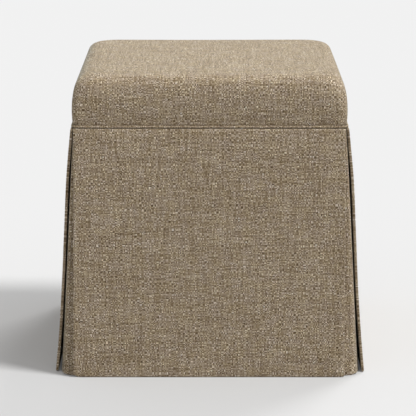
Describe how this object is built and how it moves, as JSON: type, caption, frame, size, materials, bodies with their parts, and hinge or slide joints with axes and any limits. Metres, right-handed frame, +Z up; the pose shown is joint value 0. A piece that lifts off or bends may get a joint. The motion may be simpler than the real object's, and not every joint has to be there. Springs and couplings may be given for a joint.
{
  "type": "skirted storage ottoman",
  "caption": "Square upholstered storage ottoman with a hinged cushioned lid over an open well and flared cloth skirt panels that part at the corners over folded inserts.",
  "frame": {"origin": "on the floor under the middle of the box", "axes": "+X to the object's right as seen from the front, the front faces -Y, +Z up"},
  "size_m": [0.5216, 0.5216, 0.5085],
  "materials": {
    "linen_cloth": "heathered tan and grey linen-look plain weave, matt",
    "plywood": "pale sanded plywood, clear matt lacquer",
    "foot_plastic": "black moulded block, fine matt texture",
    "hinge_steel": "zinc-plated pressed steel"
  },
  "bodies": {
    "base": {"box_bottom": "plywood", "box_front": "plywood", "box_back": "plywood", "box_left": "plywood", "box_right": "plywood", "foot_front_left": "foot_plastic", "foot_front_right": "foot_plastic", "foot_back_left": "foot_plastic", "foot_back_right": "foot_plastic", "skirt_front": "linen_cloth", "skirt_right": "linen_cloth", "skirt_back": "linen_cloth", "skirt_left": "linen_cloth", "corner_insert_front_left": "linen_cloth", "corner_insert_front_right": "linen_cloth", "corner_insert_back_right": "linen_cloth", "corner_insert_back_left": "linen_cloth", "hinge_left_base_leaf": "hinge_steel", "hinge_left_pin": "hinge_steel", "hinge_right_base_leaf": "hinge_steel", "hinge_right_pin": "hinge_steel"},
    "lid": {"lid_cushion": "linen_cloth", "lid_welt": "linen_cloth", "lid_board": "plywood", "hinge_left_lid_leaf": "hinge_steel", "hinge_right_lid_leaf": "hinge_steel"}
  },
  "joints": [
    {"name": "lid_hinge", "type": "hinge", "parent": "base", "child": "lid", "pos_m": [0, 0.2327, 0.4184], "axis": [-1, 0, 0], "range_deg": [0, 95]}
  ]
}
